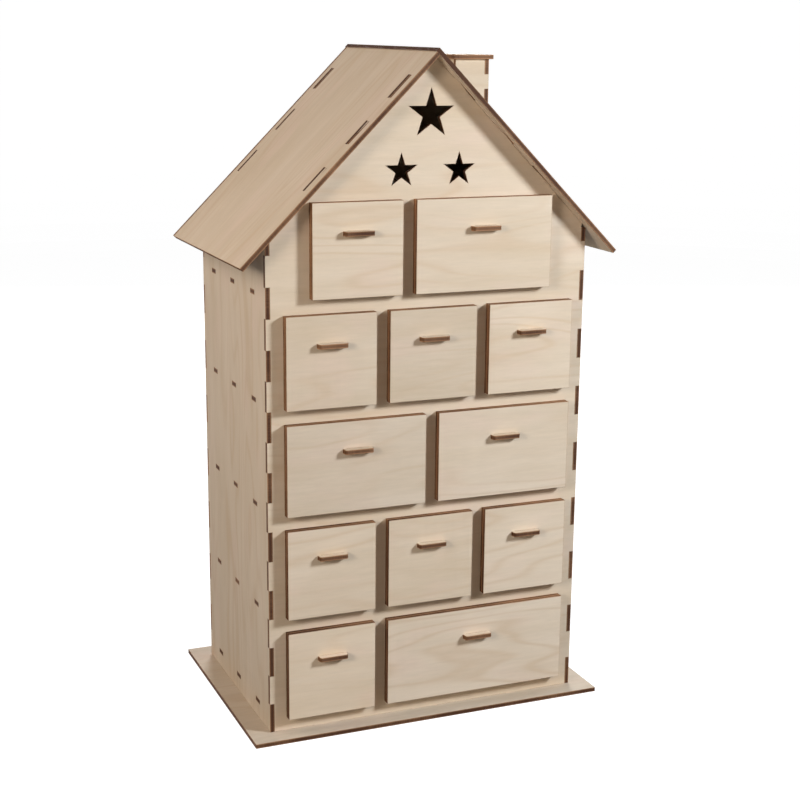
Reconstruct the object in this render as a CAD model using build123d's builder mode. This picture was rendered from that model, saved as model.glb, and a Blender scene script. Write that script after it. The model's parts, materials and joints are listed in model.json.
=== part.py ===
"""Laser-cut plywood house, an advent calendar with drawers at the front and the same drawers at the back.

Millimetres, +Z up, the front looks along -Y, and the origin is the centre of the base plate's underside.
"""

import math
import os

from build123d import *

# Sheet that every board is cut from
ply = 4.0

# Drawer faces
face_width = 81.6  # the narrow face; the two broader faces follow from it and the gap
face_height = 81.0
face_gap = 12.4  # between faces in a row
row_gap = 13.0  # between rows
face_margin = 15.2  # from the outermost faces to the outside of the side panels
face_lift = 12.8  # from the top of the base plate to the lowest faces
overlay = 5.0  # how far a face covers the panel round its window

# House
house_depth = 193.0
gable_room = 7.8  # from the top row's outer corners up to the underside of the roof
roof_overhang = 12.6  # past the front and back panels
eave_reach = 25.2  # past the side panels
ridge_lip = 0.8  # by which the right roof board's end stands above the left board
base_overhang = 19.0
wall_fingers = 16  # whole fingers up a corner
eave_finger = 0.45  # share of a finger that is left under the eave
gable_fingers = 8  # finger lengths along a gable slope

# Tabs of the shelves, the dividers and the walls
shelf_tab = 12.0
shelf_tab_spacing = 60.0
shelf_tabs = 3  # at each end of a shelf
divider_tab = 12.0
divider_foot_spacing = 120.0
divider_head_spacing = 60.0
base_tab = 26.0
base_tab_spacing = 96.0
gable_base_tabs = 3
side_base_tabs = 2

# Stars in the gables
star_offset = -2.0  # from the middle of the gable to the middle of the stars
star_radius = 21.5
star_rise = 70.7  # from the top row's faces up to the large star's centre
small_star_radius = 14.9
small_star_rise = 23.8
small_star_spacing = 53.4
star_points = 5
star_waist = (3 - math.sqrt(5)) / 2  # inner over outer radius, where the sides of the points line up

# Chimney
chimney_width = 33.0
chimney_depth = 41.0
chimney_offset = 70.5  # from the ridge to the chimney's middle
chimney_drop = 6.6  # from the ridge down to the cap's top
chimney_finger = 13.2
chimney_tab = 16.0
cap_overhang = 3.0

# Drawer trays
closed_gap = 0.3  # between a shut drawer and the panel
slide_gap = 0.3  # between a tray and its shelf
side_play = 0.5  # between a tray and each side of its window
rim_play = 1.0  # between a tray's rim and the top of its window
meeting_gap = 4.0  # between a front tray and the back tray behind it
tray_tab = 24.0

# Pull tabs
pull_width = 27.5
pull_reach = 8.0
pull_taper = 1.0
pull_round = 2.0
pull_tang = 20.0
pull_drop = 26.1  # from the top of the face to the middle of the pull

# Sizes that follow
half_face = 1.5 * face_width + 0.5 * face_gap
wide_face = 2 * face_width + face_gap
rows = (
    (face_width, wide_face),
    (face_width, face_width, face_width),
    (half_face, half_face),
    (face_width, face_width, face_width),
    (face_width, half_face),
)  # from the lowest row up, each from left to right

house_width = 3 * face_width + 2 * face_gap + 2 * face_margin
row_pitch = face_height + row_gap
window_height = face_height - 2 * overlay
inner_width = house_width - 2 * ply
inner_depth = house_depth - 2 * ply

# A roof of 45 degrees: the boards meet square at the ridge, the right one over the left one's end
diagonal = math.sqrt(0.5)
top_row_width = sum(rows[-1]) + face_gap * (len(rows[-1]) - 1)
top_face_z = ply + face_lift + (len(rows) - 1) * row_pitch + face_height
eave_z = top_face_z + gable_room - (house_width - top_row_width) / 2
peak_z = eave_z + house_width / 2
ridge_z = peak_z + ply / diagonal
slope_length = (house_width / 2 + eave_reach) / diagonal - ply
slope_finger = house_width / 2 / diagonal / gable_fingers
wall_finger = (eave_z - ply) / (wall_fingers + eave_finger)
slope_tabs = range(1, gable_fingers - 1, 2)  # finger lengths, counted from the peak, that are tabs

tray_base = slide_gap
tray_height = window_height - slide_gap - rim_play
tray_end = (house_depth - meeting_gap) / 2
tray_middle_z = tray_base + tray_height / 2
tray_middle_y = (tray_end - ply - closed_gap) / 2
face_middle_z = face_height / 2 - overlay
pull_z = face_height - overlay - pull_drop


def face_bottom(row):
    """Height of the lower edge of a row's faces."""
    return ply + face_lift + row * row_pitch


def shelf_top(row):
    """Height of the shelf that a row's drawers slide on, which is also the bottom of their windows."""
    return face_bottom(row) + overlay


def face_places(row):
    """Each face of a row as its middle and its width."""
    widths = rows[row]
    left = -(sum(widths) + face_gap * (len(widths) - 1)) / 2
    places = []
    for width in widths:
        places.append((left + width / 2, width))
        left += width + face_gap
    return places


def divider_places(row):
    """Middles of the gaps between a row's faces."""
    places = face_places(row)
    return [x + width / 2 + face_gap / 2 for x, width in places[:-1]]


def gable_point(along, out):
    """Point on the right slope: along it from the peak, and out from it."""
    return (along + out) * diagonal, peak_z + (out - along) * diagonal


def star_outline(radius):
    """Corners of a star about its centre, point up."""
    corners = []
    for i in range(2 * star_points):
        reach = radius * (star_waist if i % 2 else 1)
        angle = math.pi / 2 + i * math.pi / star_points
        corners.append((reach * math.cos(angle), reach * math.sin(angle)))
    return corners


def save(shape, name):
    """Label a finished node and write it."""
    shape.label = name
    export_step(shape, f"parts/{name}.step")


def save_group(boards, name):
    """Write boards that share a node, each still a solid of its own."""
    for number, board in enumerate(boards, 1):
        board.label = f"{name}_{number}"
    save(Compound(children=boards), name)


# House walls


def gable_panel(outer_y, inward):
    """Front or back sheet: windows, stars, corner notches, roof tabs and base tabs."""
    with BuildPart() as panel:
        with BuildSketch(Plane(origin=(0, outer_y, 0), x_dir=(1, 0, 0), z_dir=(0, -1, 0))):
            with BuildLine():
                Polyline(
                    (-house_width / 2, ply),
                    (house_width / 2, ply),
                    (house_width / 2, eave_z),
                    (0, peak_z),
                    (-house_width / 2, eave_z),
                    close=True,
                )
            make_face()
            for edge in (-1, 1):
                for finger in range(0, wall_fingers + 1, 2):
                    with Locations((edge * (house_width - ply) / 2, ply + finger * wall_finger)):
                        Rectangle(ply, wall_finger, align=(Align.CENTER, Align.MIN), mode=Mode.SUBTRACT)
                for unit in slope_tabs:
                    corners = [
                        gable_point(unit * slope_finger, 0),
                        gable_point(unit * slope_finger, ply),
                        gable_point((unit + 1) * slope_finger, ply),
                        gable_point((unit + 1) * slope_finger, 0),
                    ]
                    with BuildLine():
                        Polyline([(edge * x, z) for x, z in corners], close=True)
                    make_face()
            with Locations((0, ply / 2)):
                with GridLocations(base_tab_spacing, ply, gable_base_tabs, 1):
                    Rectangle(base_tab, ply)
            for row in range(len(rows)):
                for x, width in face_places(row):
                    with Locations((x, shelf_top(row))):
                        Rectangle(
                            width - 2 * overlay,
                            window_height,
                            align=(Align.CENTER, Align.MIN),
                            mode=Mode.SUBTRACT,
                        )
            with Locations((star_offset, top_face_z + star_rise)):
                Polygon(*star_outline(star_radius), align=None, mode=Mode.SUBTRACT)
            with Locations((star_offset, top_face_z + small_star_rise)):
                with GridLocations(small_star_spacing, small_star_radius, 2, 1):
                    Polygon(*star_outline(small_star_radius), align=None, mode=Mode.SUBTRACT)
        extrude(amount=-inward * ply)
    return panel.part


def side_panel(outer_x, inward):
    """Side wall: fingers at both edges, a slot for each shelf tab, and base tabs."""
    with BuildPart() as panel:
        with BuildSketch(Plane(origin=(outer_x, 0, 0), x_dir=(0, 1, 0), z_dir=(1, 0, 0))):
            with Locations((0, ply)):
                Rectangle(house_depth, eave_z - ply, align=(Align.CENTER, Align.MIN))
            for edge in (-1, 1):
                for finger in range(1, wall_fingers + 1, 2):
                    with Locations((edge * (house_depth - ply) / 2, ply + finger * wall_finger)):
                        Rectangle(ply, wall_finger, align=(Align.CENTER, Align.MIN), mode=Mode.SUBTRACT)
            for row in range(len(rows)):
                with Locations((0, shelf_top(row) - ply / 2)):
                    with GridLocations(shelf_tab_spacing, ply, shelf_tabs, 1):
                        Rectangle(shelf_tab, ply, mode=Mode.SUBTRACT)
            with Locations((0, ply / 2)):
                with GridLocations(base_tab_spacing, ply, side_base_tabs, 1):
                    Rectangle(base_tab, ply)
        extrude(amount=inward * ply)
    return panel.part


def base_board():
    """Board under the house, with slots that the walls' tabs fill."""
    with BuildPart() as board:
        with BuildSketch():
            Rectangle(house_width + 2 * base_overhang, house_depth + 2 * base_overhang)
            with GridLocations(base_tab_spacing, house_depth - ply, gable_base_tabs, 2):
                Rectangle(base_tab, ply, mode=Mode.SUBTRACT)
            with GridLocations(house_width - ply, base_tab_spacing, 2, side_base_tabs):
                Rectangle(ply, base_tab, mode=Mode.SUBTRACT)
        extrude(amount=ply)
    return board.part


# Roof and chimney

chimney_left = chimney_offset - chimney_width / 2
chimney_right = chimney_offset + chimney_width / 2
chimney_top = ridge_z - chimney_drop - ply
chimney_along = chimney_offset / diagonal - ply


def roof_panel(side, lap, carries_chimney):
    """Roof board on one side; lap is how far its top end reaches over the other board's end."""
    with BuildPart() as panel:
        with BuildSketch(Plane(origin=(0, 0, peak_z), x_dir=(side, 0, -1), z_dir=(side, 0, 1))):
            with Locations((-lap, 0)):
                Rectangle(
                    slope_length + lap,
                    house_depth + 2 * roof_overhang,
                    align=(Align.MIN, Align.CENTER),
                )
            with Locations(*[((unit + 0.5) * slope_finger, 0) for unit in slope_tabs]):
                with GridLocations(slope_finger, house_depth - ply, 1, 2):
                    Rectangle(slope_finger, ply, mode=Mode.SUBTRACT)
            if carries_chimney:
                with Locations((chimney_along, 0)):
                    with GridLocations(chimney_tab, chimney_depth - ply, 1, 2):
                        Rectangle(chimney_tab, ply, mode=Mode.SUBTRACT)
        extrude(amount=ply)
    return panel.part


def roof_surface(x):
    """Height of the right roof board's outside at x."""
    return ridge_z - x


def chimney_fingers(bottom):
    """Tops of the fingers down a chimney corner, from the cap to its bottom."""
    count = math.ceil((chimney_top - bottom) / chimney_finger)
    return [chimney_top - i * chimney_finger for i in range(count)]


def chimney_face(outer_y, inward):
    """Front or back chimney wall: a slanted foot with a tab through the roof, notched at both corners."""
    foot = chimney_tab / 2
    with BuildPart() as wall:
        with BuildSketch(Plane(origin=(0, outer_y, 0), x_dir=(1, 0, 0), z_dir=(0, -1, 0))):
            with BuildLine():
                Polyline(
                    (chimney_left, chimney_top),
                    (chimney_left, roof_surface(chimney_left)),
                    gable_point(chimney_along - foot, ply),
                    gable_point(chimney_along - foot, 0),
                    gable_point(chimney_along + foot, 0),
                    gable_point(chimney_along + foot, ply),
                    (chimney_right, roof_surface(chimney_right)),
                    (chimney_right, chimney_top),
                    close=True,
                )
            make_face()
            for z in chimney_fingers(roof_surface(chimney_right))[0::2]:
                with Locations((chimney_right, z)):
                    Rectangle(ply, chimney_finger, align=(Align.MAX, Align.MAX), mode=Mode.SUBTRACT)
            for z in chimney_fingers(roof_surface(chimney_left + ply))[1::2]:
                with Locations((chimney_left, z)):
                    Rectangle(ply, chimney_finger, align=(Align.MIN, Align.MAX), mode=Mode.SUBTRACT)
        extrude(amount=-inward * ply)
    return wall.part


def chimney_side(inner_x, outward, foot_x, first_notch):
    """Left or right chimney wall, standing on the roof where foot_x is; notches start at first_notch."""
    bottom = roof_surface(foot_x)
    with BuildPart() as wall:
        with BuildSketch(Plane(origin=(inner_x, 0, 0), x_dir=(0, 1, 0), z_dir=(1, 0, 0))):
            with Locations((0, chimney_top)):
                Rectangle(chimney_depth, chimney_top - bottom, align=(Align.CENTER, Align.MAX))
            for z in chimney_fingers(bottom)[first_notch::2]:
                with Locations((0, z - chimney_finger / 2)):
                    with GridLocations(chimney_depth - ply, chimney_finger, 2, 1):
                        Rectangle(ply, chimney_finger, mode=Mode.SUBTRACT)
        extrude(amount=outward * ply)
    return wall.part


def chimney_lid():
    """Cap board that lies on the chimney walls."""
    with BuildPart() as lid:
        with BuildSketch(Plane.XY.offset(chimney_top)):
            with Locations((chimney_offset, 0)):
                Rectangle(chimney_width + 2 * cap_overhang, chimney_depth + 2 * cap_overhang)
        extrude(amount=ply)
    return lid.part


# Shelves and dividers


def shelf_board(row):
    """Shelf under a row: three tabs through each side panel, and slots for the dividers' tabs."""
    with BuildPart() as shelf:
        with BuildSketch(Plane.XY.offset(shelf_top(row) - ply)):
            Rectangle(inner_width, inner_depth)
            with GridLocations(house_width - ply, shelf_tab_spacing, 2, shelf_tabs):
                Rectangle(ply, shelf_tab)
            for x in divider_places(row):
                with Locations((x, 0)):
                    with GridLocations(ply, divider_foot_spacing, 1, 2):
                        Rectangle(ply, divider_tab, mode=Mode.SUBTRACT)
            if row > 0:
                for x in divider_places(row - 1):
                    with Locations((x, 0)):
                        with GridLocations(ply, divider_head_spacing, 1, 2):
                            Rectangle(ply, divider_tab, mode=Mode.SUBTRACT)
        extrude(amount=ply)
    return shelf.part


def divider_board(row, x):
    """Upright board between two drawers, tabbed into the shelf below and any shelf above."""
    bottom = shelf_top(row)
    top = bottom + row_pitch - ply
    with BuildPart() as divider:
        with BuildSketch(Plane(origin=(x - ply / 2, 0, 0), x_dir=(0, 1, 0), z_dir=(1, 0, 0))):
            with Locations((0, bottom)):
                Rectangle(inner_depth, top - bottom, align=(Align.CENTER, Align.MIN))
            with Locations((0, bottom - ply / 2)):
                with GridLocations(divider_foot_spacing, ply, 2, 1):
                    Rectangle(divider_tab, ply)
            if row < len(rows) - 1:
                with Locations((0, top + ply / 2)):
                    with GridLocations(divider_head_spacing, ply, 2, 1):
                        Rectangle(divider_tab, ply)
        extrude(amount=ply)
    return divider.part


# Drawers, each in its own frame: the origin is the middle of its window's lower edge, on the outside of
# the panel, with +Y into the house


def tray_width(width):
    """Outside width of the tray behind a face."""
    return width - 2 * overlay - 2 * side_play


def tray_front(width):
    """Board behind the face, as large as the face, slotted for the sides' tabs."""
    with BuildPart() as board:
        with BuildSketch(Plane(origin=(0, -closed_gap, 0), x_dir=(1, 0, 0), z_dir=(0, -1, 0))):
            with Locations((0, face_middle_z)):
                Rectangle(width, face_height)
            with Locations((0, tray_middle_z)):
                with GridLocations(tray_width(width) - ply, tray_tab, 2, 1):
                    Rectangle(ply, tray_tab, mode=Mode.SUBTRACT)
        extrude(amount=ply)
    return board.part


def tray_side(outer_x, inward):
    """Side of a tray: a tab into the front board, and notches for the back's and the bottom's tabs."""
    with BuildPart() as board:
        with BuildSketch(Plane(origin=(outer_x, 0, 0), x_dir=(0, 1, 0), z_dir=(1, 0, 0))):
            with Locations((-closed_gap, tray_base)):
                Rectangle(tray_end + closed_gap, tray_height, align=(Align.MIN, Align.MIN))
            with Locations((-closed_gap, tray_middle_z)):
                Rectangle(ply, tray_tab, align=(Align.MAX, Align.CENTER))
            with Locations((tray_end, tray_middle_z)):
                Rectangle(ply, tray_tab, align=(Align.MAX, Align.CENTER), mode=Mode.SUBTRACT)
            with Locations((tray_middle_y, tray_base)):
                Rectangle(tray_tab, ply, align=(Align.CENTER, Align.MIN), mode=Mode.SUBTRACT)
        extrude(amount=inward * ply)
    return board.part


def tray_back(width):
    """Back of a tray, with a tab through each side."""
    with BuildPart() as board:
        with BuildSketch(Plane(origin=(0, tray_end, 0), x_dir=(1, 0, 0), z_dir=(0, -1, 0))):
            with Locations((0, tray_base)):
                Rectangle(tray_width(width) - 2 * ply, tray_height, align=(Align.CENTER, Align.MIN))
            with Locations((0, tray_middle_z)):
                with GridLocations(tray_width(width) - ply, tray_tab, 2, 1):
                    Rectangle(ply, tray_tab)
        extrude(amount=ply)
    return board.part


def tray_bottom(width):
    """Bottom of a tray: it fills the space between the four boards, with a tab through each side."""
    inside = tray_width(width) - 2 * ply
    with BuildPart() as board:
        with BuildSketch(Plane.XY.offset(tray_base)):
            with Locations((0, -closed_gap)):
                Rectangle(inside, tray_end - ply + closed_gap, align=(Align.CENTER, Align.MIN))
            with Locations((0, tray_middle_y)):
                with GridLocations(inside + ply, tray_tab, 2, 1):
                    Rectangle(ply, tray_tab)
        extrude(amount=ply)
    return board.part


def drawer_face(width):
    """Face board with the slot that holds the pull."""
    with BuildPart() as board:
        with BuildSketch(Plane(origin=(0, -closed_gap - ply, 0), x_dir=(1, 0, 0), z_dir=(0, -1, 0))):
            with Locations((0, face_middle_z)):
                Rectangle(width, face_height)
            with Locations((0, pull_z)):
                Rectangle(pull_tang, ply, mode=Mode.SUBTRACT)
        extrude(amount=ply)
    return board.part


def drawer_pull():
    """Flat pull: a tang in the face's slot and a tab with rounded corners in front of it."""
    face_y = -closed_gap - 2 * ply
    tip = pull_width / 2 - pull_taper
    with BuildPart() as pull:
        with BuildSketch(Plane.XY.offset(pull_z - ply / 2)):
            with BuildLine():
                Polyline(
                    (pull_tang / 2, face_y + ply),
                    (-pull_tang / 2, face_y + ply),
                    (-pull_tang / 2, face_y),
                    (-pull_width / 2, face_y),
                    (-tip, face_y - pull_reach),
                    (tip, face_y - pull_reach),
                    (pull_width / 2, face_y),
                    (pull_tang / 2, face_y),
                    close=True,
                )
            make_face()
        extrude(amount=ply)
        fillet(pull.edges().filter_by(Axis.Z).group_by(Axis.Y)[0], pull_round)
    return pull.part


def drawer_boards(width):
    """The two groups of boards of a drawer: its tray, and its face with the pull."""
    edge = tray_width(width) / 2
    sides = [tray_side(-edge, 1), tray_side(edge, -1)]
    tray = [tray_front(width), *sides, tray_back(width), tray_bottom(width)]
    front = [drawer_face(width), drawer_pull()]
    return tray, front


# The whole house

os.makedirs("parts", exist_ok=True)

save(base_board(), "base_plate")
save(gable_panel(-house_depth / 2, 1), "front_panel")
save(gable_panel(house_depth / 2, -1), "back_panel")
save(side_panel(-house_width / 2, 1), "left_side_panel")
save(side_panel(house_width / 2, -1), "right_side_panel")
save(roof_panel(-1, 0, False), "left_roof_panel")
save(roof_panel(1, ply + ridge_lip, True), "right_roof_panel")

save_group([shelf_board(row) for row in range(len(rows))], "shelves")
save_group([divider_board(row, x) for row in range(len(rows)) for x in divider_places(row)], "dividers")

chimney_walls = [
    chimney_face(-chimney_depth / 2, 1),
    chimney_face(chimney_depth / 2, -1),
    chimney_side(chimney_left + ply, -1, chimney_left, 0),
    chimney_side(chimney_right - ply, 1, chimney_right - ply, 1),
]
save_group(chimney_walls, "chimney_walls")
save(chimney_lid(), "chimney_cap")

# Drawers are numbered from the top left, at the front and then at the back, as each is looked at
boards_by_width = {width: drawer_boards(width) for width in (face_width, half_face, wide_face)}
number = 0
for side, turn in ((-1, 0), (1, 180)):
    for row in reversed(range(len(rows))):
        for x, width in face_places(row)[::-side]:
            number += 1
            place = Location((x, side * house_depth / 2, shelf_top(row)), (0, 0, turn))
            tray, front = boards_by_width[width]
            save_group([board.moved(place) for board in tray], f"drawer_{number:02d}_tray")
            save_group([board.moved(place) for board in front], f"drawer_{number:02d}_front")
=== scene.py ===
# %% [markdown]
# # A plywood house with drawers, seen in the studio
# The object is an advent calendar: a house of thin birch plywood, cut out by a laser and slotted together.
# The CAD frame already holds every board at its real size and place. This lesson gives the boards their
# looks: pale veneer with its grain, edges browned by the laser, and the light of a product photograph.

# %% The frame
import json
import math

import bmesh
import bpy
from mathutils import Matrix, Vector


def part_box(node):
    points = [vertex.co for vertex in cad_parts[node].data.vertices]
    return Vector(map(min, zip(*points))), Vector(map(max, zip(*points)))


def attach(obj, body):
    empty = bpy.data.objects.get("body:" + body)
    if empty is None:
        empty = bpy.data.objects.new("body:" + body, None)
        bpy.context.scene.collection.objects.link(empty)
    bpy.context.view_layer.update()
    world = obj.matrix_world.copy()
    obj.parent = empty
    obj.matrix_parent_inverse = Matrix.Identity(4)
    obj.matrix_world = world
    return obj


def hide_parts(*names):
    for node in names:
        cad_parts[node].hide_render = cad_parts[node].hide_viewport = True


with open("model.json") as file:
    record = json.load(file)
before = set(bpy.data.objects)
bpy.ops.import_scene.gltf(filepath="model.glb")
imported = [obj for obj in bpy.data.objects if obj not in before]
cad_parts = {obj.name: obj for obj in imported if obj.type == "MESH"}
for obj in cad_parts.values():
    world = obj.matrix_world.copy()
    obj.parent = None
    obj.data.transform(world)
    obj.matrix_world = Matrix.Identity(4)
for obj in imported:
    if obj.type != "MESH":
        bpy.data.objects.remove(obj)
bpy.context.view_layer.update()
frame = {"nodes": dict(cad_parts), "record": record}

nodes = sorted(frame["nodes"])
bodies = frame["record"]["behaviour"]["bodies"]
body_of = {node: body for body, members in bodies.items() for node in members}
slot_of = {part["node"]: part["material_slot"] for part in frame["record"]["subparts"]}
base_low, base_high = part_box("base_plate")
ply = base_high.z - base_low.z
print(f"{len(nodes)} nodes on {len(bodies)} bodies, cut from a sheet of {ply * 1000:.1f} mm")

# %% [markdown]
# ## Two helpers for node trees
# Materials and Geometry Nodes are both trees of nodes. Writing them link by link is slow to read, so one
# method adds a node from its type, its settings and what goes into its sockets. A second small class wraps
# a number that varies over a surface: ordinary sums on it add the Math nodes by themselves.

# %% Node helpers


def socket_named(sockets, name):
    """A socket by its place, or the one in use with that name."""
    if isinstance(name, int):
        return sockets[name]
    return next(socket for socket in sockets if socket.name == name and socket.enabled)


class Bench:
    """A node tree that is being built."""

    def __init__(self, tree):
        self.tree = tree

    def node(self, kind, settings=None, inputs=None):
        """Add a node: its type, then its settings, then the values or links of its sockets."""
        made = self.tree.nodes.new(kind)
        for name, value in (settings or {}).items():
            setattr(made, name, value)
        for name, value in (inputs or {}).items():
            self.plug(socket_named(made.inputs, name), value)
        return made

    def plug(self, socket, value):
        """Link a socket to another, or set it to a value."""
        value = getattr(value, "socket", value)
        if isinstance(value, bpy.types.NodeSocket):
            self.tree.links.new(value, socket)
        else:
            socket.default_value = value


class Signal:
    """A number that varies over a surface."""

    def __init__(self, bench, socket):
        self.bench = bench
        self.socket = socket

    def math(self, operation, *values):
        """A Math node on these values."""
        made = self.bench.node("ShaderNodeMath", {"operation": operation}, dict(enumerate(values)))
        return Signal(self.bench, made.outputs[0])

    def __add__(self, other):
        return self.math("ADD", self, other)

    def __sub__(self, other):
        return self.math("SUBTRACT", self, other)

    def __rsub__(self, other):
        return self.math("SUBTRACT", other, self)

    def __mul__(self, other):
        return self.math("MULTIPLY", self, other)

    def __pow__(self, other):
        return self.math("POWER", self, other)

    __radd__ = __add__
    __rmul__ = __mul__

    def sine(self):
        return self.math("SINE", self)

    def rise(self, low, high):
        """0 below low, 1 above high, and a smooth step between them."""
        inputs = {"Value": self, "From Min": low, "From Max": high}
        step = self.bench.node("ShaderNodeMapRange", {"interpolation_type": "SMOOTHSTEP"}, inputs)
        return Signal(self.bench, step.outputs["Result"])


print("helpers: Bench adds nodes, Signal does sums")

# %% [markdown]
# ## A finish for wood
# Every finish here is one Principled shader. The wood pattern has to run along the grain of each board,
# whichever way the board stands, so the finishes don't read the object's place. They read attributes that
# the boards carry: grain (metres along and across the grain, shifted at random from board to board), tone
# (how warm a board is), shade (how much lighter than most it is: a veneer's own paleness on the drawer
# faces, painted shade on the side panels and the base plate), scorch (1 at the laser's cut, 0 a little way
# in), char (how much darker its edges are than a drawer face's, with painted shade on the drawers' left
# edges and at the ridge) and depth (0 to 1 through the ply).

# %% Finish helper


class Finish(Bench):
    """A material with one Principled shader, whose constant sockets are set by name."""

    def __init__(self, name, constants):
        self.material = bpy.data.materials.new(name)
        self.material.use_nodes = True
        super().__init__(self.material.node_tree)
        self.shader = self.tree.nodes["Principled BSDF"]
        for socket, value in constants.items():
            self.shader.inputs[socket].default_value = value

    def attribute(self, name):
        """An attribute of the boards that holds one number."""
        return Signal(self, self.node("ShaderNodeAttribute", {"attribute_name": name}).outputs["Fac"])

    def grain(self):
        """Place on the board, along and across the grain, as a vector."""
        return self.node("ShaderNodeAttribute", {"attribute_name": "grain"}).outputs["Vector"]

    def noise(self, place, per_metre, detail=2.0, roughness=0.5):
        """Noise with so many waves a metre along the grain, across it and through the board."""
        stretched = self.node("ShaderNodeVectorMath", {"operation": "MULTIPLY"}, {0: place, 1: per_metre})
        inputs = {"Vector": stretched.outputs[0], "Scale": 1.0, "Detail": detail, "Roughness": roughness}
        return Signal(self, self.node("ShaderNodeTexNoise", {}, inputs).outputs["Fac"])

    def noises(self, place, table):
        """Several noises on one place, by name."""
        return {name: self.noise(place, *settings) for name, settings in table.items()}

    def mix(self, share, first, second, blend="MIX"):
        """Two colours mixed by a share from 0 to 1."""
        settings = {"data_type": "RGBA", "blend_type": blend, "clamp_factor": True}
        made = self.node("ShaderNodeMix", settings, {"Factor": share, "A": first, "B": second})
        return made.outputs["Result"]

    def grey(self, value):
        """A number as a grey colour."""
        made = self.node("ShaderNodeCombineColor", {}, {"Red": value, "Green": value, "Blue": value})
        return made.outputs["Color"]

    def feed(self, name, value):
        """Link one of the shader's sockets."""
        self.plug(self.shader.inputs[name], value)

    def relief(self, height, strength, distance):
        """Bump from a height."""
        inputs = {"Strength": strength, "Distance": distance, "Height": height}
        self.feed("Normal", self.node("ShaderNodeBump", {}, inputs).outputs["Normal"])


print("finish helper ready")

# %% [markdown]
# ## Birch veneer
# Birch is pale and quiet. Close up it has fine fibres and short dark flecks. Further off it has soft bands
# and clouds, here and there a rosy one, and, because the veneer is peeled off a log in one long sheet, faint
# growth lines that wander and close into loops. Each is a noise stretched along the grain. The growth lines
# are the sine of a slope that a slow noise bends, which gives loops where the noise is steeper than the
# slope. A picture would be quicker, but it would repeat on every board and blur near the camera.

# %% The veneer's colours and figure
pale_birch = (0.668, 0.550, 0.418, 1)
honey_birch = (0.580, 0.458, 0.320, 1)
rosy_birch = (0.660, 0.500, 0.385, 1)
line_birch = (0.560, 0.410, 0.270, 1)
singed_birch = (0.260, 0.140, 0.070, 1)
bare_wood = {"Specular IOR Level": 0.10}
fibre_height = 0.0001  # metres
veneer_noises = {  # waves a metre along the grain, across it and through the board, detail, roughness
    "fibre": ((42, 380, 60), 3, 0.65),
    "fleck": ((190, 2600, 60), 1),
    "band": ((9, 70, 10), 3),
    "cloud": ((8, 22, 5), 2),
    "blush": ((15, 27, 5), 2),
    "bend": ((3.2, 19, 3), 1.5),
    "drawn": ((2.5, 12, 3), 1),
    "curl": ((110, 13, 5), 1),
    "curly": ((7, 9, 3), 1),
    "smoke": ((45, 45, 45), 2),
}
veneer_levels = {  # some only show where their noise is strong: from where, and from where in full
    "fleck": (0.66, 0.80),
    "blush": (0.50, 0.74),
    "drawn": (0.34, 0.66),
    "curly": (0.50, 0.72),
}
noise_mean = 0.5
band_warmth, cloud_warmth, tone_warmth, mean_warmth = 1.2, 1.3, 0.25, 0.45
fibre_light, curl_light, fleck_light, mean_light = 0.16, 0.08, 0.06, 1.01
fibre_roughness, line_roughness, veneer_roughness = 0.18, 0.04, 0.50
fleck_sink, veneer_relief = 0.6, 0.25
blush_share = 0.45
line_share = 0.5
growth_line = 0.040  # metres from one growth line to the next, where nothing bends them
growth_bend = 62  # radians by which the slow noise bends them
growth_power = 5  # the higher, the finer the line
scorch_power = 2.5  # the higher, the closer to the cut the brown stays
least_singe = 0.1  # what is left of the brown where the smoke was thin
print(len(veneer_noises), "noises make the veneer's figure")

# %% Birch veneer


def birch_veneer():
    finish = Finish("birch_veneer", bare_wood)
    place = finish.grain()
    across = Signal(finish, finish.node("ShaderNodeSeparateXYZ", {}, {0: place}).outputs["Y"])
    noise = finish.noises(place, veneer_noises)
    part = {name: noise[name].rise(*levels) for name, levels in veneer_levels.items()}
    fibre = noise["fibre"]
    curl = (noise["curl"] - noise_mean) * part["curly"]
    slope = across * (2 * math.pi / growth_line) + noise["bend"] * growth_bend
    line = (slope.sine() * 0.5 + 0.5) ** growth_power

    warmth = (noise["band"] - noise_mean) * band_warmth + (noise["cloud"] - noise_mean) * cloud_warmth
    warmth = warmth + finish.attribute("tone") * tone_warmth + mean_warmth
    wood = finish.mix(warmth, pale_birch, honey_birch)
    wood = finish.mix(part["blush"] * blush_share, wood, rosy_birch)
    wood = finish.mix(line * part["drawn"] * line_share, wood, line_birch)
    light = (fibre - noise_mean) * fibre_light + curl * curl_light - part["fleck"] * fleck_light
    # shade: a veneer's own paleness, and painted shade on the side panels and the base plate
    light = light + finish.attribute("shade") + mean_light
    wood = finish.mix(1.0, wood, finish.grey(light), "MULTIPLY")
    smoke = noise["smoke"] * (1 - least_singe) + least_singe
    singe = (finish.attribute("scorch") ** scorch_power) * smoke
    finish.feed("Base Color", finish.mix(singe, wood, singed_birch))
    finish.feed("Roughness", fibre * fibre_roughness + line * line_roughness + veneer_roughness)
    finish.relief(fibre - part["fleck"] * fleck_sink, veneer_relief, fibre_height)
    return finish.material


veneer = birch_veneer()
print(veneer.name, len(veneer.node_tree.nodes), "nodes")

# %% [markdown]
# ## Burnt edge
# The laser burns its way through, so every cut edge is brown: darkest in the cross-grained core, lighter in
# the two face veneers, with fine streaks straight through the board and smoky patches along it. The depth
# attribute gives the three plies, and the grain attribute stays the same through the thickness, so a noise
# on it makes streaks that run through the board. A slow cut burns deeper than a quick one, so boards differ,
# and the char attribute says by how much. On the drawers' left edges and at the ridge, char also carries
# painted shade.

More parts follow.
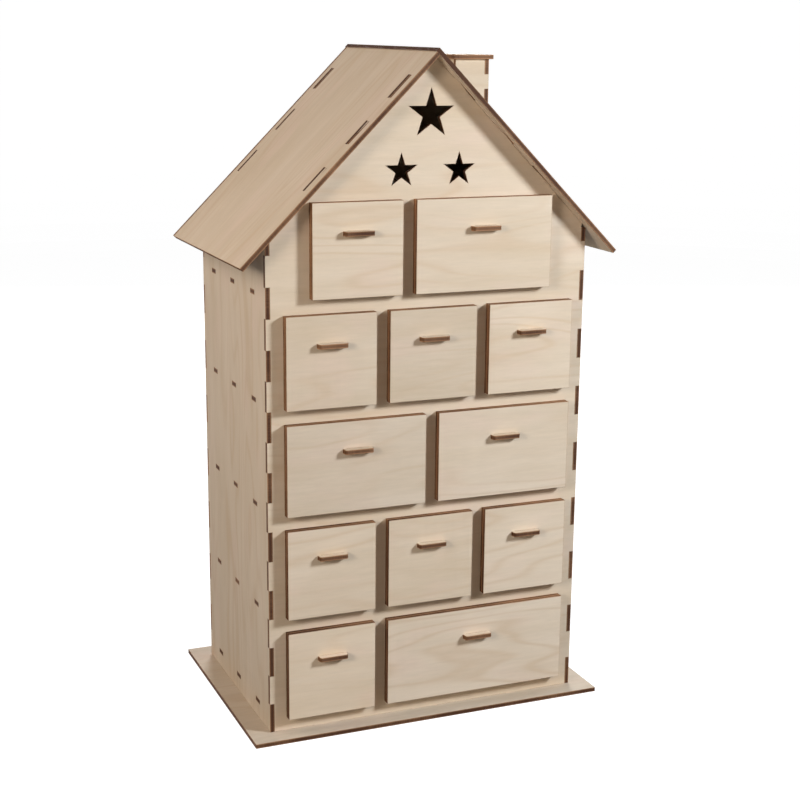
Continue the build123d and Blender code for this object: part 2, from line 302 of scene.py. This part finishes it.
# %% Burnt edge
toasted_veneer = (0.380, 0.196, 0.096, 1)
charred_core = (0.066, 0.027, 0.013, 1)
core_start = (0.14, 0.26)  # shares of the depth over which a face veneer gives way to the core
core_end = (0.74, 0.86)
edge_noises = {"patch": ((28, 28, 28), 2), "streak": ((1100, 1100, 1100), 2)}
core_burn, patch_burn, streak_burn, tone_burn, mean_burn = 0.50, 0.9, 0.35, 0.12, 0.15
streak_roughness, edge_roughness = 0.2, 0.55
core_sink, edge_relief = 0.5, 0.3


def burnt_edge():
    finish = Finish("burnt_edge", bare_wood)
    noise = finish.noises(finish.grain(), edge_noises)
    streak = noise["streak"]
    depth = finish.attribute("depth")
    core = depth.rise(*core_start) - depth.rise(*core_end)
    # char is burn, and on the drawers' left edges and at the ridge also painted shade
    board = finish.attribute("tone") * tone_burn + finish.attribute("char")
    marks = (noise["patch"] - noise_mean) * patch_burn + (streak - noise_mean) * streak_burn
    burn = core * core_burn + marks + board + mean_burn
    finish.feed("Base Color", finish.mix(burn, toasted_veneer, charred_core))
    finish.feed("Roughness", streak * streak_roughness + edge_roughness)
    finish.relief(streak - core * core_sink, edge_relief, fibre_height)
    return finish.material


edge = burnt_edge()
print(edge.name, len(edge.node_tree.nodes), "nodes")

# %% [markdown]
# ## From CAD solids to flat outlines
# Each CAD node holds one or more boards as closed solids. A board is a flat outline with a thickness, so
# only one broad side of it is needed here: the boards are built up again from that, with finer edges. In the
# node's mesh every flat side is an island of triangles, and a broad side is an island that is wider than
# the ply both ways, along the grain and across it.

# %% Which way the grain runs
x_axis, y_axis, z_axis = Vector((1, 0, 0)), Vector((0, 1, 0)), Vector((0, 0, 1))
square_on = 0.9  # a board faces along an axis when its normal has more than this of it
upright_grain = ("left_side_panel", "right_side_panel")


def faces_along(normal, axis):
    """Does a board with this normal face along the axis, one way or the other?"""
    return abs(normal.dot(axis)) > square_on


def grain_axes(node, normal):
    """Directions along and across the grain of a board with this normal."""
    if faces_along(normal, y_axis) or faces_along(normal, z_axis):
        along = x_axis
    elif faces_along(normal, x_axis):
        along = z_axis if node in upright_grain else y_axis
    else:
        along = normal.cross(y_axis)
    return along, normal.cross(along)


print("the grain of", len(upright_grain), "panels stands upright")

# %% Outlines
lean = Vector((0.3, 0.5, 0.8))  # of a board's two broad sides, the one that faces this way is kept
broad = 1.1 * ply


def flat_side(start):
    """All the triangles of the flat side that start belongs to."""
    side = {start}
    to_search = [start]
    while to_search:
        face = to_search.pop()
        for near in (other for line in face.edges for other in line.link_faces):
            if near not in side:
                side.add(near)
                to_search.append(near)
    return side


def is_broad(side, axes):
    """Is this side wider than the edge of a board, both ways?"""
    corners = [corner.co for face in side for corner in face.verts]
    spans = [[corner.dot(axis) for corner in corners] for axis in axes]
    return all(max(span) - min(span) > broad for span in spans)


def broad_sides(node):
    """One broad side of each board of a node, still open to edits, and the number of boards."""
    bm = bmesh.new()
    bm.from_mesh(frame["nodes"][node].data)
    bm.normal_update()
    waiting = set(bm.faces)
    dropped = []
    boards = 0
    while waiting:
        start = min(waiting, key=lambda face: face.index)
        side = flat_side(start)
        waiting -= side
        if start.normal.dot(lean) > 0 and is_broad(side, grain_axes(node, start.normal)):
            boards += 1
        else:
            dropped += side
    bmesh.ops.delete(bm, geom=dropped, context="FACES")
    return bm, boards


outlines = {}
board_count = 0
for node in nodes:
    outlines[node], boards = broad_sides(node)
    board_count += boards
print(board_count, "boards in", len(outlines), "nodes")

# %% [markdown]
# ## The pulls and the ridge
# Two kinds of outline are touched up. The pulls are drawn in a little, to their length in the photograph. The
# right roof panel is cut across just under the ridge: what a mesh's corners carry fades from each corner to
# the next, and the extra corners keep the ridge's char and painted shade from fading down the panel's other
# edges.

# %% Pulls and ridge
pull_share = 0.75  # the pulls measure 6 mm in the photograph, and 8 mm in the solids
ridge_band = 0.002  # the ridge's edge lies within this of the panel's top
ridge_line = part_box("right_roof_panel")[1].z - ridge_band


def shorten_pull(bm, node):
    """Draw the pull of a drawer's front in towards the face."""
    face_plane = min(abs(corner.y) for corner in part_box(node)) + ply
    for corner in bm.verts:
        past_face = abs(corner.co.y) - face_plane
        if past_face > 0 and faces_along(corner.link_faces[0].normal, z_axis):
            corner.co.y = math.copysign(face_plane + past_face * pull_share, corner.co.y)


def cut_across(bm, height):
    """Cut every face of a mesh where it passes this height."""
    everything = bm.verts[:] + bm.edges[:] + bm.faces[:]
    bmesh.ops.bisect_plane(bm, geom=everything, plane_co=(0, 0, height), plane_no=z_axis)


drawer_fronts = [node for node in nodes if slot_of[node] == "drawer_front"]
for node in drawer_fronts:
    shorten_pull(outlines[node], node)
cut_across(outlines["right_roof_panel"], ridge_line)
print(len(drawer_fronts), f"pulls drawn in, the roof panel cut at {ridge_line:.3f} m")

# %% [markdown]
# ## Char and shade
# In the photograph the house's walls, the pulls and above all the ridge have darker edges than the drawer
# faces, a drawer's left edge is darker than its top, the more so the lower it is, and no two sheets of
# veneer are equally pale. At the ridge the char is partly burn and partly painted shade in the seam. The
# drawers' left edges get painted shade that grows towards the foot of the house, and the darker veneer of
# the side panels and the base plate is painted shade too. Char and shade are both numbers that a board
# can carry, so one finish serves them all.

# %% Char and shade
slot_char = {"house_board": 0.36, "roof_board": 0.16, "inner_board": 0.40}  # the drawers' faces have none
pull_char = 0.22
left_edge_shade = 0.50  # painted shade on the left edges of the drawer boards, in full at the foot of the house
# the ridge's edge: partly burn, partly painted shade in the seam
ridge_char_and_shade = 0.75
gable_char = 0.65
back_char = -0.15
# a drawer face's shade is its veneer's own paleness; the darker side panels and base plate are painted shade
veneer_tone_and_painted_shade = {
    "left_side_panel": -0.13,
    "right_side_panel": -0.13,
    "base_plate": -0.20,
    "drawer_03_front": -0.05,
    "drawer_04_front": -0.09,
    "drawer_06_front": -0.10,
    "drawer_07_front": -0.04,
    "drawer_11_front": 0.08,
}
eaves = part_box("left_side_panel")[1].z
middle_of = {node: sum(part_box(node), Vector()).x / 2 for node in nodes}


def edge_char(node, normal, place):
    """How charred a board is at a place on its edge, with painted shade on the drawers' left edges and the
    ridge.
    """
    if slot_of[node] == "drawer_front" and faces_along(normal, z_axis):
        return pull_char
    # painted shade: the left half of a drawer board's edges is darker, the more so the lower it stands
    if body_of[node] != "house" and faces_along(normal, y_axis):
        on_left = (place.x - middle_of[node]) * place.y > 0
        return left_edge_shade * (1 - place.z / eaves) if on_left else 0.0
    # the ridge is darkest: partly burn, partly painted shade in the seam
    if node == "right_roof_panel" and place.z > ridge_line:
        return ridge_char_and_shade
    if node in ("front_panel", "back_panel") and place.z > eaves:
        return gable_char
    if node == "back_panel":
        return back_char
    return slot_char.get(slot_of[node], 0.0)


print(len(veneer_tone_and_painted_shade), f"boards have a shade of their own, the eaves are at {eaves:.3f} m")

# %% [markdown]
# ## A singed rim
# Close to the cut the veneer itself is browned. An inset gives each outline a narrow rim for that, and its
# outer corners are the scorched ones. The corners also carry the grain, the char and the shade. A texture
# could hold all this, but an attribute needs no picture and is as sharp as the mesh.

# %% Sheets
rim_width = 0.0009


def singed_sheet(node, bm):
    """A node's outlines with a singed rim and what the finishes read, as a plain mesh."""
    bmesh.ops.inset_region(
        bm,
        faces=bm.faces[:],
        thickness=rim_width,
        use_even_offset=True,
        use_boundary=True,
    )
    bm.normal_update()
    scorch = bm.verts.layers.float.new("scorch")
    char = bm.verts.layers.float.new("char")
    shade = bm.verts.layers.float.new("shade")
    grain = bm.verts.layers.float_vector.new("grain")
    for corner in bm.verts:
        normal = corner.link_faces[0].normal
        along, across = grain_axes(node, normal)
        corner[scorch] = 1.0 if corner.is_boundary else 0.0
        corner[char] = edge_char(node, normal, corner.co)
        corner[shade] = veneer_tone_and_painted_shade.get(node, 0.0)
        corner[grain] = (corner.co.dot(along), corner.co.dot(across), 0)
    sheet = bpy.data.meshes.new(node + "_outline")
    bm.to_mesh(sheet)
    bm.free()
    return sheet


sheets = {node: singed_sheet(node, bm) for node, bm in outlines.items()}
print(sum(len(sheet.vertices) for sheet in sheets.values()), "corners in", len(sheets), "sheets")

# %% [markdown]
# ## The board tree
# All boards follow one rule: an outline, pushed through the thickness of the sheet, with veneer on both
# sides and a burnt edge all round. Geometry Nodes hold that rule once, and each node's sheet is run through
# it. First come the tree's inputs, and two helpers that write and read an attribute.

# %% Board tree: inputs
tree = bpy.data.node_groups.new("laser_cut_board", "GeometryNodeTree")
board_inputs = {
    "Outline": "NodeSocketGeometry",
    "Thickness": "NodeSocketFloat",
    "Seed": "NodeSocketInt",
    "Veneer": "NodeSocketMaterial",
    "Cut Edge": "NodeSocketMaterial",
}
for name, kind in board_inputs.items():
    tree.interface.new_socket(name, in_out="INPUT", socket_type=kind)
tree.interface.new_socket("Board", in_out="OUTPUT", socket_type="NodeSocketGeometry")
socket_ids = {item.name: item.identifier for item in tree.interface.items_tree if item.in_out == "INPUT"}
bench = Bench(tree)
given = bench.node("NodeGroupInput").outputs


def store(shape, name, value, kind, selection=True):
    """Write an attribute on the corners of a shape."""
    settings = {"data_type": kind, "domain": "POINT"}
    inputs = {"Geometry": shape, "Selection": selection, "Name": name, "Value": value}
    return bench.node("GeometryNodeStoreNamedAttribute", settings, inputs).outputs["Geometry"]


def stored(name, kind):
    """Read an attribute."""
    return bench.node("GeometryNodeInputNamedAttribute", {"data_type": kind}, {"Name": name}).outputs[0]


print(tree.name, "takes", list(socket_ids))

# %% [markdown]
# ## No two boards alike
# Each board is an island of the sheet. The island's number draws a tone for the board and a shift of its
# grain, so that neighbours don't show the same figure. The seed is fixed, so each run draws the same ones.

# %% Board tree: tone and grain
veneer_reach = 20  # metres of veneer to take the boards from
island = bench.node("GeometryNodeInputMeshIsland").outputs["Island Index"]
sheet = store(given["Outline"], "board", island, "INT")
number = stored("board", "INT")
draw = {"ID": number, "Seed": given["Seed"]}
tone = bench.node("FunctionNodeRandomValue", {"data_type": "FLOAT"}, {"Min": -1.0, "Max": 1.0, **draw})
sheet = store(sheet, "tone", socket_named(tone.outputs, "Value"), "FLOAT")
far = {"Min": (0, 0, 0), "Max": (veneer_reach, veneer_reach, veneer_reach)}
shift = bench.node("FunctionNodeRandomValue", {"data_type": "FLOAT_VECTOR"}, {**far, **draw})
moved = bench.node(
    "ShaderNodeVectorMath",
    {"operation": "ADD"},
    {0: stored("grain", "FLOAT_VECTOR"), 1: socket_named(shift.outputs, "Value")},
)
sheet = store(sheet, "grain", moved.outputs[0], "FLOAT_VECTOR")
print("tone and grain:", len(tree.nodes), "nodes")

# %% [markdown]
# ## Pushed through and welded
# The extrusion leaves the first side open, so the untouched outline is joined on and the two are welded.
# Boards of one node touch at their joints, and mustn't be welded to each other, so for the weld each board is
# lifted a metre above the last.

# %% Board tree: thickness
weld = 1e-5  # metres
sheet = store(sheet, "depth", 0.0, "FLOAT")
turned = bench.node("GeometryNodeFlipFaces", {}, {"Mesh": sheet}).outputs["Mesh"]
pushed = bench.node(
    "GeometryNodeExtrudeMesh",
    {"mode": "FACES"},
    {"Mesh": turned, "Offset Scale": given["Thickness"], "Individual": False},
).outputs
shell = store(pushed["Mesh"], "depth", 1.0, "FLOAT", pushed["Top"])
shell = bench.node(
    "GeometryNodeSetMaterial",
    {},
    {"Geometry": shell, "Selection": pushed["Side"], "Material": given["Cut Edge"]},
).outputs["Geometry"]
both = bench.node("GeometryNodeJoinGeometry")
bench.plug(both.inputs[0], sheet)
bench.plug(both.inputs[0], shell)

lift = bench.node("ShaderNodeCombineXYZ", {}, {"Z": number}).outputs[0]
drop = bench.node("ShaderNodeVectorMath", {"operation": "SCALE"}, {0: lift, "Scale": -1.0}).outputs[0]
apart = bench.node("GeometryNodeSetPosition", {}, {"Geometry": both.outputs[0], "Offset": lift})
welded = bench.node("GeometryNodeMergeByDistance", {}, {"Geometry": apart.outputs[0], "Distance": weld})
home = bench.node("GeometryNodeSetPosition", {}, {"Geometry": welded.outputs[0], "Offset": drop})
print("thickness:", len(tree.nodes), "nodes")

# %% [markdown]
# ## Veneer on what isn't cut
# The cut edges already have their burnt finish. The tree ends by making everything plain mesh and by giving
# the veneer to the faces that still have the first material, which are the broad sides and their rims.

# %% Board tree: veneer
real = bench.node("GeometryNodeRealizeInstances", {}, {"Geometry": home.outputs[0]}).outputs[0]
index = bench.node("GeometryNodeInputMaterialIndex").outputs[0]
equal = {"data_type": "INT", "operation": "EQUAL"}
uncut = bench.node("FunctionNodeCompare", equal, {"A": index, "B": 0})
dressed = bench.node(
    "GeometryNodeSetMaterial",
    {},
    {"Geometry": real, "Selection": uncut.outputs[0], "Material": given["Veneer"]},
)
bench.node("NodeGroupOutput", {}, {"Board": dressed.outputs[0]})
print(tree.name, "has", len(tree.nodes), "nodes in all")

# %% [markdown]
# ## Cutting the boards
# A Bevel modifier after the tree takes the sharpness off each edge, a tenth of a millimetre, and gives that
# narrow strip the burnt finish: it draws the thin dark line that the laser leaves round every piece. The
# result becomes a plain mesh that stands for its CAD node and rides on the node's body.

# %% Boards
softened = 0.00012
sheet_materials = (veneer, edge)


def cut_boards(node, seed):
    """The finished boards of a node, as one object."""
    sheet = sheets[node]
    for material in sheet_materials:
        sheet.materials.append(material)
    blank = bpy.data.objects.new(node + "_blank", sheet)
    bpy.context.scene.collection.objects.link(blank)
    rule = blank.modifiers.new("laser_cut_board", "NODES")
    rule.node_group = tree
    rule[socket_ids["Thickness"]] = ply
    rule[socket_ids["Seed"]] = seed
    rule[socket_ids["Veneer"]] = veneer
    rule[socket_ids["Cut Edge"]] = edge
    bevel = blank.modifiers.new("softened_edges", "BEVEL")
    bevel.width = softened
    bevel.segments = 1
    bevel.limit_method = "ANGLE"
    bevel.use_clamp_overlap = False
    bevel.material = sheet_materials.index(edge)
    depsgraph = bpy.context.evaluated_depsgraph_get()
    mesh = bpy.data.meshes.new_from_object(
        blank.evaluated_get(depsgraph), preserve_all_data_layers=True, depsgraph=depsgraph
    )
    bpy.data.objects.remove(blank)
    piece = bpy.data.objects.new(node + "_boards", mesh)
    bpy.context.scene.collection.objects.link(piece)
    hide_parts(node)
    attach(piece, body_of[node])
    return piece


pieces = [cut_boards(node, seed) for seed, node in enumerate(nodes)]
print(len(pieces), "pieces,", sum(len(piece.data.polygons) for piece in pieces), "faces")

# %% [markdown]
# ## The studio
# The floor is a white cove: flat round the house, then curving up into a wall on all sides, so that there is
# no horizon. It glows a little, as a lit sweep does, and sends no light back, so the shaded side of the house
# stays as dark as in the photograph.

# %% Floor
cove_flat = 3.0
cove_bend = 1.2
cove_wall = 2.6
cove_drop = 0.0002  # metres below the base plate, so that no two faces lie in one plane
cove_steps = 12
cove_turns = 72
cove_finish = {
    "Base Color": (0.30, 0.30, 0.30, 1),
    "Roughness": 0.9,
    "Specular IOR Level": 0.0,
    "Emission Color": (1, 1, 1, 1),
    "Emission Strength": 0.97,
}


def cove_profile():
    """Points from the middle of the floor out to the bend and up the wall."""
    points = [Vector((0, 0, 0))]
    for step in range(cove_steps + 1):
        angle = math.pi / 2 * step / cove_steps
        out, up = cove_bend * math.sin(angle), cove_bend * (1 - math.cos(angle))
        points.append(Vector((cove_flat + out, 0, up)))
    points.append(Vector((cove_flat + cove_bend, 0, cove_wall)))
    return [point - Vector((0, 0, cove_drop)) for point in points]


def cove():
    """The profile, spun round the house."""
    bm = bmesh.new()
    corners = [bm.verts.new(point) for point in cove_profile()]
    lines = [bm.edges.new(pair) for pair in zip(corners, corners[1:])]
    bmesh.ops.spin(
        bm,
        geom=corners + lines,
        axis=(0, 0, 1),
        cent=(0, 0, 0),
        angle=2 * math.pi,
        steps=cove_turns,
        use_merge=True,
    )
    bmesh.ops.remove_doubles(bm, verts=bm.verts[:], dist=weld)
    bmesh.ops.recalc_face_normals(bm, faces=bm.faces[:])
    mesh = bpy.data.meshes.new("white_cove")
    bm.to_mesh(mesh)
    bm.free()
    mesh.materials.append(Finish("white_sweep", cove_finish).material)
    floor = bpy.data.objects.new("white_cove", mesh)
    bpy.context.scene.collection.objects.link(floor)
    floor.visible_diffuse = False
    return floor


print(cove().name, "flat for", cove_flat, "m")

# %% [markdown]
# ## Light
# The photograph's shadows give its lamps away. Each drawer throws a crisp shadow to the lower left, so the
# strongest lamp is small and stands on the right, in front of the house and above it. The shadows grow longer
# from the top row to the bottom one, so that lamp is near. Between two drawers the shadow is nearly black,
# yet on the open strip at the left it is only half as dark: a broad bank must light the front from the left,
# where a drawer hides it from the next gap. It lights the side too, a lamp behind it lights the roof, and a
# large dim warm one in front stands for the room. The last lamp, which the photograph doesn't see, lights
# the back.

# %% Lamps
lamp_target = Vector((0, -0.10, 0.35))
lamps = (  # name, place, width in metres, watts, colour
    ("soft_box", (0.95, -0.88, 0.90), 0.29, 22.7, (0.90, 1.00, 1.13)),
    ("left_bank", (-1.35, -0.85, 0.75), 0.50, 12.8, (1.08, 1.00, 0.92)),
    ("roof_lamp", (-1.00, 0.30, 1.10), 0.60, 5.6, (1.06, 0.98, 0.96)),
    ("room", (-0.30, -2.40, 0.50), 1.60, 8.6, (1.10, 0.95, 0.82)),
    ("back_lamp", (0.70, 2.00, 0.90), 0.90, 36.0, (1.00, 1.00, 1.00)),
)
stray_light = 0.02


def lamp(name, place, width, watts, colour):
    """A round lamp that points at the house."""
    light = bpy.data.lights.new(name, "AREA")
    light.shape = "DISK"
    light.size = width
    light.energy = watts
    light.color = colour
    made = bpy.data.objects.new(name, light)
    made.location = place
    made.rotation_euler = (lamp_target - Vector(place)).to_track_quat("-Z", "Y").to_euler()
    bpy.context.scene.collection.objects.link(made)
    return made


lit = [lamp(*settings) for settings in lamps]
world = bpy.data.worlds.new("studio")
world.use_nodes = True
background = world.node_tree.nodes["Background"].inputs
background["Color"].default_value = (1, 1, 1, 1)
background["Strength"].default_value = stray_light
bpy.context.scene.world = world
bpy.context.scene.view_settings.view_transform = "Standard"
print("lamps:", [light.name for light in lit])

# %% [markdown]
# ## Camera
# The camera's place and turn come from the house's corners, fingers and slots in the photograph: each is a
# point whose place on the object is known. The picture is a square crop, so the lens's middle is a little off
# the picture's, which the shift makes up for.

# %% Camera
picture_side = 800  # pixels
focal_length = 1553.16  # pixels
picture_middle = (406.65, 415.34)  # the lens's middle in the picture, pixels from its top left
camera_place = Vector((-0.5322, -1.3176, 0.6159))
yaw, pitch, roll = (math.radians(angle) for angle in (22.694, -14.063, 0.614))

ahead = Vector((math.sin(yaw) * math.cos(pitch), math.cos(yaw) * math.cos(pitch), math.sin(pitch)))
right = Vector((math.cos(yaw), -math.sin(yaw), 0))
above = right.cross(ahead)
tilted_right = math.cos(roll) * right + math.sin(roll) * above
tilted_above = math.cos(roll) * above - math.sin(roll) * right
lens = bpy.data.cameras.new("photo_camera")
lens.lens = focal_length * lens.sensor_width / picture_side
lens.shift_x = (picture_side / 2 - picture_middle[0]) / picture_side
lens.shift_y = (picture_middle[1] - picture_side / 2) / picture_side
camera = bpy.data.objects.new("photo_camera", lens)
turn = Matrix((tilted_right, tilted_above, -ahead)).transposed()
camera.matrix_world = Matrix.Translation(camera_place) @ turn.to_4x4()
bpy.context.scene.collection.objects.link(camera)
bpy.context.scene.camera = camera
print(f"lens {lens.lens:.1f} mm, shift {lens.shift_x:.4f} {lens.shift_y:.4f}")
